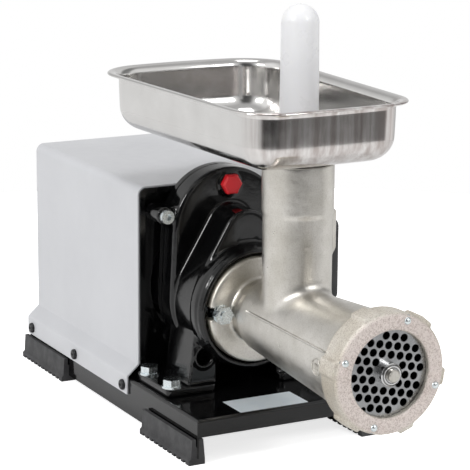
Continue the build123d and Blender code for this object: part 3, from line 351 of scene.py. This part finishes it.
def layered(name, low, high, pitch, rough=(0.3, 0.5)):
    """Stacked steel laminations or wound wire: fine ridges across the Y axis."""
    m = Nodes(name)
    wave = m.add("ShaderNodeTexWave", wave_type="BANDS", bands_direction="Y")
    wave.inputs["Scale"].default_value = 1 / pitch / 20
    wave.inputs["Distortion"].default_value = 0.6
    m.link(m.place, wave.inputs["Vector"])
    m.colour(m.blend(wave.outputs["Fac"], low, high, 0, 1))
    m.roughness(m.span(m.noise(200, 3), rough[0], rough[1]))
    m.bumps((wave.outputs["Fac"], 0.5, 0.0002))
    m.fixed(Metallic=1.0)
    return m.material


black_enamel = gloss_black("black_enamel")
black_cast = gloss_black("black_cast", peel=240.0, rough=(0.07, 0.17), wave=0.00018)
rubber_grey = rubber()
cover_grey = grey_paint()
zinc = metal("zinc", (0.62, 0.68, 0.70), (0.80, 0.84, 0.85), (0.18, 0.34), 900, 0.00004, 160)
ground_steel = metal("ground_steel", (0.30, 0.305, 0.31), (0.42, 0.425, 0.43), (0.22, 0.36), 500, 0.00004, 60)
plate_steel = drilled_plate()
turned_steel = turned("turned_steel", (0.16, 0.16, 0.16), (0.70, 0.70, 0.70))
gear_steel = metal("gear_steel", (0.36, 0.36, 0.37), (0.50, 0.50, 0.51), (0.25, 0.4))
collar_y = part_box("head_casting")[1].y
ring_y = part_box("ring_nut")[0].y
cast_tin = tinned_cast("cast_tin", (0.54, 0.52, 0.47), (0.72, 0.70, 0.66), (0.74, 0.70, 0.60),
                       (collar_y - 0.012, collar_y - 0.009), (0.27, 0.42))
ring_tin = tinned_cast("ring_tin", (0.62, 0.575, 0.49), (0.80, 0.765, 0.695), (0.83, 0.755, 0.72),
                       (ring_y + 0.003, ring_y + 0.001), (0.36, 0.52), 700, 0.0009, 0.9)
steel_sheet = sheet_steel()
pestle_white = white_plastic()
bronze = metal("bronze", (0.50, 0.31, 0.12), (0.64, 0.42, 0.18), (0.25, 0.4))
aluminium = metal("aluminium", (0.50, 0.50, 0.51), (0.66, 0.66, 0.67), (0.35, 0.5), 500, 0.0001)
copper = layered("copper", (0.30, 0.09, 0.03), (0.68, 0.26, 0.10), 0.0012, (0.25, 0.4))
laminations = layered("laminations", (0.10, 0.10, 0.11), (0.32, 0.32, 0.33), 0.0010)
plug_red = moulded("plug_red", (0.62, 0.006, 0.012), (0.74, 0.012, 0.020), (0.3, 0.4), 700)
black_plastic = moulded("black_plastic", (0.020, 0.020, 0.022), (0.040, 0.040, 0.042))
rocker_green = moulded("rocker_green", (0.01, 0.16, 0.05), (0.02, 0.26, 0.08), (0.2, 0.3))
capacitor_grey = moulded("capacitor_grey", (0.42, 0.42, 0.43), (0.52, 0.52, 0.53))
label_foil = printed_foil()
screw_black = metal("screw_black", (0.03, 0.03, 0.032), (0.07, 0.07, 0.072), (0.25, 0.4), 900, 0.00004)

NODE_MATERIALS = {
    "base_pan": black_enamel,
    "foot_front_left": rubber_grey,
    "foot_front_right": rubber_grey,
    "foot_rear_left": rubber_grey,
    "foot_rear_right": rubber_grey,
    "cover_shell": cover_grey,
    "cover_screws": screw_black,
    "front_panel": black_enamel,
    "rear_panel": black_enamel,
    "cable_gland": black_plastic,
    "gearbox_housing": black_cast,
    "gearbox_rear_plate": black_cast,
    "bearing_plate": aluminium,
    "output_front_bush": bronze,
    "output_seal": rubber_grey,
    "output_rear_bush": bronze,
    "intermediate_bushes": bronze,
    "output_gear": gear_steel,
    "intermediate_pinion": gear_steel,
    "intermediate_gear": gear_steel,
    "intermediate_shaft": gear_steel,
    "motor_pinion": gear_steel,
    "output_shaft": gear_steel,
    "head_casting": cast_tin,
    "clamp_studs": zinc,
    "clamp_nuts": zinc,
    "cutting_plate": plate_steel,
    "plate_key": gear_steel,
    "plate_bush": turned_steel,
    "ring_nut": cast_tin,
    "knife": ground_steel,
    "auger": cast_tin,
    "tray": steel_sheet,
    "pestle": pestle_white,
    "motor_front_bell": black_cast,
    "motor_rear_bell": black_cast,
    "motor_tie_rods": zinc,
    "stator_core": laminations,
    "stator_windings": copper,
    "motor_bearings": turned_steel,
    "motor_rotor": laminations,
    "motor_fan": black_plastic,
    "run_capacitor": capacitor_grey,
    "capacitor_clip": zinc,
    "switch_box": black_plastic,
    "switch_lid": black_plastic,
    "switch_body": black_plastic,
    "switch_rocker": rocker_green,
    "housing_screws": zinc,
    "leg_screws": screw_black,
    "oil_plug": plug_red,
    "foot_bolts": zinc,
    "foot_washers": zinc,
    "foot_nuts": zinc,
    "blank_label": label_foil,
}
for node_name, node_material in NODE_MATERIALS.items():
    cad_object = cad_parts[node_name]
    cad_object.data.materials.clear()
    cad_object.data.materials.append(node_material)


# ---------------------------------------------------------------------
# Mesh pieces
# ---------------------------------------------------------------------
def new_piece(name, bm, body, node_names, material, smooth=True):
    """A finished piece from a bmesh: linked, shaded, riding on its body and standing for its nodes."""
    mesh = bpy.data.meshes.new(name)
    bm.to_mesh(mesh)
    bm.free()
    piece = bpy.data.objects.new(name, mesh)
    bpy.context.scene.collection.objects.link(piece)
    for polygon in mesh.polygons:
        polygon.use_smooth = smooth
    if material:
        mesh.materials.append(material)
    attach(piece, body)
    if node_names:
        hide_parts(*node_names)
    return piece


def node_mesh(*node_names):
    """The CAD meshes of these nodes in one bmesh, with their doubled points merged."""
    bm = bmesh.new()
    for node_name in node_names:
        bm.from_mesh(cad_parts[node_name].data)
    bmesh.ops.remove_doubles(bm, verts=bm.verts, dist=2e-6)
    return bm


def modified(bm, *steps):
    """The bmesh after these modifiers, each (kind, settings)."""
    mesh = bpy.data.meshes.new("working")
    bm.to_mesh(mesh)
    bm.free()
    worker = bpy.data.objects.new("working", mesh)
    bpy.context.scene.collection.objects.link(worker)
    for index, (kind, settings) in enumerate(steps):
        step = worker.modifiers.new(f"step{index}", kind)
        for key, value in settings.items():
            setattr(step, key, value)
    evaluated = worker.evaluated_get(bpy.context.evaluated_depsgraph_get())
    result = bmesh.new()
    result.from_mesh(evaluated.to_mesh())
    evaluated.to_mesh_clear()
    bpy.data.objects.remove(worker)
    bpy.data.meshes.remove(mesh)
    return result


def recast(node_names, voxel, rounds, share=None):
    """The nodes as one cast body: edges rounded by a fine remesh and smoothing."""
    steps = [
        ("REMESH", {"mode": "VOXEL", "voxel_size": voxel, "adaptivity": 0.0}),
        ("SMOOTH", {"factor": 0.5, "iterations": rounds}),
    ]
    if share:
        steps.append(("DECIMATE", {"ratio": share}))
    return modified(node_mesh(*node_names), *steps)


def lathe(bm, profile, centre, axis, steps=32):
    """A turned shape: profile points are (distance along the axis, radius); ends at radius 0 are closed."""
    axis = Vector(axis).normalized()
    across = axis.orthogonal().normalized()
    other = axis.cross(across)
    rings = []
    for along, radius in profile:
        middle_point = Vector(centre) + axis * along
        if radius < 1e-7:
            rings.append([bm.verts.new(middle_point)])
            continue
        ring = []
        for step in range(steps):
            angle = 2 * pi * step / steps
            ring.append(bm.verts.new(middle_point + (across * cos(angle) + other * sin(angle)) * radius))
        rings.append(ring)
    for first, second in zip(rings, rings[1:]):
        bridge(bm, first, second)


def bridge(bm, first, second):
    """Faces between two rings of points, or between a ring and a single point."""
    count = max(len(first), len(second))
    for step in range(count):
        after = (step + 1) % count
        if len(first) == 1:
            bm.faces.new((first[0], second[step], second[after]))
        elif len(second) == 1:
            bm.faces.new((first[step], second[0], first[after]))
        else:
            bm.faces.new((first[step], second[step], second[after], first[after]))


def soften(bm, rounds, weight):
    """Smooth the points by a weight of their place, a number of rounds."""
    bm.verts.ensure_lookup_table()
    chosen = [(v, weight(v.co)) for v in bm.verts]
    chosen = [(v, w) for v, w in chosen if w > 0.01]
    for _ in range(rounds):
        moved = []
        for v, w in chosen:
            near = [e.other_vert(v).co for e in v.link_edges]
            average = sum(near, Vector()) / len(near)
            moved.append((v, v.co.lerp(average, 0.6 * w)))
        for v, place in moved:
            v.co = place


def tube_strip(bm, points, radius, steps=8):
    """A thin closed tube along points."""
    rings = []
    for index, point in enumerate(points):
        ahead = points[min(index + 1, len(points) - 1)] - points[max(index - 1, 0)]
        ahead.normalize()
        across = ahead.orthogonal().normalized()
        other = ahead.cross(across)
        ring = []
        for step in range(steps):
            angle = 2 * pi * step / steps
            ring.append(bm.verts.new(point + (across * cos(angle) + other * sin(angle)) * radius))
        rings.append(ring)
    for first, second in zip(rings, rings[1:]):
        bridge(bm, first, second)
    bm.faces.new(rings[0][::-1])
    bm.faces.new(rings[-1])


# ---- head casting ----
neck = middle("pestle")


def barrel_radius(y):
    """Outside radius of the barrel at y."""
    share = (y - (-0.2150)) / (-0.0685 + 0.2150)
    return (39.0 + (29.2 - 39.0) * min(max(share, 0), 1)) * MM


def neck_root_weight(place):
    """1 where the neck grows out of the barrel, fading to 0 around it."""
    out = sqrt((place.x - neck.x) ** 2 + (place.y - neck.y) ** 2)
    around = sqrt((place.x - centre_x) ** 2 + (place.z - worm_z) ** 2)
    inside = out < 0.0245 or around < barrel_radius(place.y) - 0.004
    if inside or place.z < worm_z + 0.004 or place.z > worm_z + 0.062:
        return 0.0
    rise = around - barrel_radius(place.y)
    aside = max(out - 0.0263, 0)
    gap = min(max(rise, 0), aside + 0.004) if aside > 0.001 else max(rise, 0)
    return max(0.0, 1.0 - gap / 0.016) if aside < 0.016 else 0.0


def make_head():
    """The head, its neck root softened, with its parting lines and a cast mark."""
    bm = recast(["head_casting"], 0.0012, 3)
    soften(bm, 22, neck_root_weight)
    new_piece("head_casting_skin", bm, "machine", ["head_casting"], cast_tin)
    bm = bmesh.new()
    for degrees in (160.0, 20.0, 270.0):
        points = []
        for step in range(15):
            y = -0.0800 + (-0.2180 + 0.0800) * step / 14
            out = barrel_radius(y) - 0.0004
            turn = radians(degrees)
            points.append(Vector((centre_x + out * cos(turn), y, worm_z + out * sin(turn))))
        tube_strip(bm, points, 0.0011)
    mark_y = -0.2025
    rim = []
    for step in range(25):
        angle = 2 * pi * step / 24
        y = mark_y + 0.0062 * cos(angle)
        turn = pi + (0.0062 / barrel_radius(mark_y)) * sin(angle)
        out = barrel_radius(y)
        rim.append(Vector((centre_x + out * cos(turn), y, worm_z + out * sin(turn))))
    tube_strip(bm, rim, 0.0007)
    for step in (-1, 0, 1):
        points = []
        for end in (-1, 0, 1):
            turn = pi + 0.0028 * end / barrel_radius(mark_y)
            y = mark_y + 0.0022 * step + 0.0006 * end
            out = barrel_radius(y)
            points.append(Vector((centre_x + out * cos(turn), y, worm_z + out * sin(turn))))
        tube_strip(bm, points, 0.0005)
    new_piece("head_cast_lines", bm, "machine", [], cast_tin)


make_head()


# ---- ring nut ----
def make_ring():
    """The ring nut as a rough casting, with four domed studs on its face."""
    bm = recast(["ring_nut"], 0.0008, 1)
    new_piece("ring_nut_skin", bm, "ring", ["ring_nut"], ring_tin)
    bm = bmesh.new()
    face_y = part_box("plate_bush")[0].y + 0.002
    for index in range(4):
        turn = radians(-19.0 + 90.0 * index)
        place = Vector((centre_x + 0.0395 * cos(turn), face_y, worm_z + 0.0395 * sin(turn)))
        dome = [(0.0009 - 0.0026 * sin(a), 0.0030 * cos(a)) for a in [step * pi / 12 for step in range(6)]]
        lathe(bm, [(0.0014, 0.0046), (0.0009, 0.0040)] + dome + [(-0.0017, 0.0)], place, (0, 1, 0), 24)
    studs = new_piece("ring_studs", bm, "ring", [], zinc)
    studs.data.materials.append(gear_steel)
    for polygon in studs.data.polygons:
        if polygon.center.y > face_y + 0.0010:
            polygon.material_index = 1


make_ring()


# ---- gearbox ----
def make_gearbox():
    """The gearbox housing as a gloss-painted casting, edges and inside corners rounded."""
    bm = recast(["gearbox_housing"], 0.00115, 3)
    new_piece("gearbox_skin", bm, "machine", ["gearbox_housing"], black_cast)


make_gearbox()


# ---- motor ----
def make_bell_fins():
    """Cooling fins round the motor's front bell."""
    low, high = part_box("motor_front_bell")
    centre = (low + high) / 2
    outer = (high.x - low.x) / 2
    bm = bmesh.new()
    for index in range(5):
        y = 0.0275 + 0.0045 * index
        root = outer - 0.0030
        rim = outer - 0.0002
        profile = [(0, root), (0.0003, rim - 0.0006), (0.0007, rim), (0.0011, rim - 0.0006), (0.0014, root)]
        lathe(bm, profile + [(0, root)], (centre.x, y, centre.z), (0, 1, 0), 72)
    bmesh.ops.remove_doubles(bm, verts=bm.verts, dist=1e-7)
    new_piece("bell_fins", bm, "machine", [], black_cast)


make_bell_fins()


# ---- tray ----
def rim_outline(count=168):
    """The tray's outline from above: evenly spaced points with their outward directions."""
    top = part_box("tray")[1].z
    points = sorted({(v.co.x, v.co.y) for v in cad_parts["tray"].data.vertices if v.co.z > top - 0.002})
    hull = []
    for run in (points, points[::-1]):
        chain = []
        for x, y in run:
            while len(chain) > 1:
                (ax, ay), (bx, by) = chain[-2:]
                if (bx - ax) * (y - ay) - (by - ay) * (x - ax) > 0:
                    break
                chain.pop()
            chain.append((x, y))
        hull += chain[:-1]
    corners = [Vector((x, y, 0)) for x, y in hull]
    lengths = [(corners[(i + 1) % len(corners)] - corners[i]).length for i in range(len(corners))]
    spacing = sum(lengths) / count
    outline = []
    index = 0
    passed = 0.0
    for step in range(count):
        target = spacing * step
        while passed + lengths[index] < target:
            passed += lengths[index]
            index += 1
        share = (target - passed) / lengths[index]
        outline.append(corners[index].lerp(corners[(index + 1) % len(corners)], share))
    outward = []
    for step in range(count):
        along = outline[(step + 2) % count] - outline[step - 2]
        outward.append(Vector((along.y, -along.x, 0)).normalized())
    return outline, outward


TRAY_OUTLINE, TRAY_OUTWARD = rim_outline()


def rim_inset(inset):
    """The tray's outline this far inside its rim, always with the same number of points."""
    return [point - out * inset for point, out in zip(TRAY_OUTLINE, TRAY_OUTWARD)]


def make_tray():
    """A pressed stainless dish with a rounded, flared lip, a dished floor and its spigot."""
    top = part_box("tray")[1].z
    sheet = 0.0010
    wall_inset = 0.0095 + sheet
    wall_bottom = 0.2299 + 0.021
    spigot_root = 0.0262
    upper = [(0.0002, top - 0.0016), (0.0005, top - 0.0007), (0.0012, top - 0.0002)]
    upper += [(0.0025, top), (0.0040, top - 0.0001)]
    for step in range(1, 9):
        angle = pi / 2 * step / 8
        upper.append((0.0040 + 0.0065 * sin(angle), top - 0.0001 - 0.0062 * (1 - cos(angle))))
    floor_rise = 0.0022
    wall_top = top - 0.006
    for step in range(4):
        upper.append((wall_inset + 0.0002 * step, wall_top + (wall_bottom - wall_top) * (step + 1) / 4))
    radius = 0.020
    for step in range(1, 11):
        angle = pi / 2 * step / 10
        inset = wall_inset + 0.0006 + radius * (1 - cos(angle))
        upper.append((inset, wall_bottom - (radius - floor_rise) * sin(angle)))
    spigot = Vector((neck.x, neck.y, 0))
    rings = []
    for inset, z in upper:
        rings.append([Vector((p.x, p.y, z)) for p in rim_inset(inset)])
    floor_edge = rings[-1]
    floor_z = floor_edge[0].z
    for share, drop in ((0.25, 0.0003), (0.5, 0.0008), (0.75, 0.0014), (0.9, 0.0019)):
        ring = []
        for p in floor_edge:
            inner = spigot + Vector((p.x - spigot.x, p.y - spigot.y, 0)).normalized() * spigot_root
            ring.append(Vector((p.x, p.y, 0)).lerp(inner, share) + Vector((0, 0, floor_z - drop)))
        rings.append(ring)
    spigot_shape = [(spigot_root, 0.2311), (0.0240, 0.2306), (0.0226, 0.2292), (0.0215, 0.2262), (0.0214, 0.2040)]
    for out, z in spigot_shape:
        ring = []
        for p in floor_edge:
            aside = Vector((p.x - spigot.x, p.y - spigot.y, 0)).normalized()
            ring.append(spigot + aside * out + Vector((0, 0, z)))
        rings.append(ring)
    bm = bmesh.new()
    loops = [[bm.verts.new(p) for p in ring] for ring in rings]
    for first, second in zip(loops, loops[1:]):
        bridge(bm, second, first)
    bmesh.ops.recalc_face_normals(bm, faces=bm.faces)
    sheet_piece = modified(
        bm,
        ("SOLIDIFY", {"thickness": sheet, "offset": -1.0}),
        ("SUBSURF", {"levels": 1, "render_levels": 1}),
    )
    new_piece("tray_dish", sheet_piece, "feed_tray", ["tray"], steel_sheet)


make_tray()


# ---- pestle ----
PESTLE_TOP_R = 0.0140
PESTLE_LOW_R = 0.0156
PESTLE_FOOT_END = 0.0260


def make_pestle():
    """The pestle: a slightly tapered rod with a domed top and a wider foot that fits the neck."""
    low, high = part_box("pestle")
    length = high.z - low.z
    foot = (high.x - low.x) / 2
    profile = [(0, 0), (0, foot - 0.0020), (0.0006, foot - 0.0006), (0.0020, foot), (0.0140, foot)]
    profile.append((PESTLE_FOOT_END, PESTLE_LOW_R))
    rod = length - PESTLE_TOP_R - PESTLE_FOOT_END
    for step in range(1, 9):
        share = step / 8
        profile.append((PESTLE_FOOT_END + rod * share, PESTLE_LOW_R + (PESTLE_TOP_R - PESTLE_LOW_R) * share))
    for step in range(1, 13):
        angle = pi / 2 * step / 12
        out = PESTLE_TOP_R * cos(angle) if step < 12 else 0
        profile.append((length - PESTLE_TOP_R * (1 - sin(angle)), out))
    bm = bmesh.new()
    lathe(bm, profile, (neck.x, neck.y, low.z), (0, 0, 1), 64)
    bmesh.ops.recalc_face_normals(bm, faces=bm.faces)
    new_piece("pestle_rod_skin", bm, "pestle_rod", ["pestle"], pestle_white)


make_pestle()


# ---------------------------------------------------------------------
# Floor, lights and surroundings
# ---------------------------------------------------------------------
def make_floor():
    """A pale round sheet under the machine, brighter to the camera than to the machine."""
    bm = bmesh.new()
    bmesh.ops.create_circle(bm, cap_ends=True, segments=96, radius=FLOOR_REACH)
    mesh = bpy.data.meshes.new("floor")
    bm.to_mesh(mesh)
    bm.free()
    floor = bpy.data.objects.new("floor", mesh)
    bpy.context.scene.collection.objects.link(floor)
    m = Nodes("floor_pale")
    m.colour(m.blend(m.noise(3, 2), (0.93, 0.93, 0.93), (0.95, 0.95, 0.95)))
    m.fixed(Roughness=0.7, Specular_IOR_Level=0.1, Emission_Color=(1, 1, 1, 1))
    rays = m.add("ShaderNodeLightPath")
    m.link(m.span(rays.outputs["Is Camera Ray"], 0, 0.75, 0, 1), m.shader.inputs["Emission Strength"])
    floor.data.materials.append(m.material)


def soft_light(name, place, aim, width, height, power):
    """A large soft rectangular light."""
    data = bpy.data.lights.new(name, "AREA")
    data.shape = "RECTANGLE"
    data.size = width
    data.size_y = height
    data.energy = power
    light = bpy.data.objects.new(name, data)
    bpy.context.scene.collection.objects.link(light)
    light.location = place
    light.rotation_mode = "QUATERNION"
    light.rotation_quaternion = (Vector(aim) - Vector(place)).to_track_quat("-Z", "Y")


# Brightness round the horizon, in degrees from straight ahead of the outlet, to the right.
# The values are listed one by one. The room is dark ahead of the machine and mostly bright at its sides and
# behind.
LOW_BAND = [
    (-180, 0.9), (-150, 0.95), (-80, 0.85), (-62, 0.5), (-52, 0.06), (-10, 0.04), (10, 0.12),
    (28, 0.2), (55, 0.25), (62, 0.9), (100, 1.0), (120, 0.5), (150, 0.8), (180, 0.9),
]
HIGH_BAND = [
    (-180, 0.5), (-150, 0.9), (-120, 1.1), (-75, 1.0), (-60, 0.75), (-46, 0.12), (-18, 0.06),
    (-8, 0.65), (30, 0.95), (70, 0.9), (80, 0.3), (110, 0.25), (125, 0.8), (180, 0.5),
]


def make_world():
    """White for the camera; reflections see a room with dark gaps between its softboxes."""
    world = bpy.data.worlds.new("studio")
    bpy.context.scene.world = world
    world.use_nodes = True
    tree = world.node_tree
    for node in list(tree.nodes):
        tree.nodes.remove(node)

    def add(kind, **values):
        node = tree.nodes.new(kind)
        for key, value in values.items():
            setattr(node, key, value)
        return node

    def ramp(stops, value):
        node = add("ShaderNodeValToRGB")
        for index, (degrees, grey) in enumerate(stops):
            position = (degrees + 180) / 360
            if index == 0:
                stop = node.color_ramp.elements[0]
            elif index == len(stops) - 1:
                stop = node.color_ramp.elements[len(node.color_ramp.elements) - 1]
            else:
                stop = node.color_ramp.elements.new(position)
            stop.position = position
            stop.color = (grey, grey, grey, 1)
        tree.links.new(value, node.inputs["Fac"])
        return node.outputs["Color"]

    def mix(share, first, second):
        node = add("ShaderNodeMix", data_type="RGBA")
        tree.links.new(share, node.inputs["Factor"])
        for socket, colour in ((node.inputs[6], first), (node.inputs[7], second)):
            if isinstance(colour, float):
                socket.default_value = (colour, colour, colour, 1)
            else:
                tree.links.new(colour, socket)
        return node.outputs[2]

    def between(value, low, high):
        node = add("ShaderNodeMapRange")
        node.inputs["From Min"].default_value = low
        node.inputs["From Max"].default_value = high
        tree.links.new(value, node.inputs["Value"])
        return node.outputs["Result"]

    place = add("ShaderNodeTexCoord")
    split = add("ShaderNodeSeparateXYZ")
    tree.links.new(place.outputs["Generated"], split.inputs[0])
    ahead = add("ShaderNodeMath", operation="MULTIPLY")
    ahead.inputs[1].default_value = -1
    tree.links.new(split.outputs["Y"], ahead.inputs[0])
    turn = add("ShaderNodeMath", operation="ARCTAN2")
    tree.links.new(split.outputs["X"], turn.inputs[0])
    tree.links.new(ahead.outputs[0], turn.inputs[1])
    around = between(turn.outputs[0], -pi, pi)
    height = split.outputs["Z"]
    sides = mix(between(height, 0.10, 0.22), ramp(LOW_BAND, around), ramp(HIGH_BAND, around))
    room = mix(between(height, 0.72, 0.88), sides, OVERHEAD)
    rays = add("ShaderNodeLightPath")
    unseen = mix(rays.outputs["Is Glossy Ray"], DIFFUSE_SKY, room)
    seen = mix(rays.outputs["Is Camera Ray"], unseen, 1.0)
    background = add("ShaderNodeBackground")
    tree.links.new(seen, background.inputs["Color"])
    output = add("ShaderNodeOutputWorld")
    tree.links.new(background.outputs[0], output.inputs["Surface"])


FLOOR_REACH = 0.9
OVERHEAD = 0.55
DIFFUSE_SKY = 0.56
make_floor()
make_world()
soft_light("key", (-2.2, -0.45, 1.6), (0, 0, 0.12), 0.7, 0.7, 25)
soft_light("front", (0.67, -2.1, 1.5), (0, 0, 0.12), 0.5, 0.7, 14)
soft_light("top", (0.1, 0.3, 2.2), (0, 0, 0.1), 0.7, 0.7, 10)
bpy.context.scene.view_settings.view_transform = "Standard"
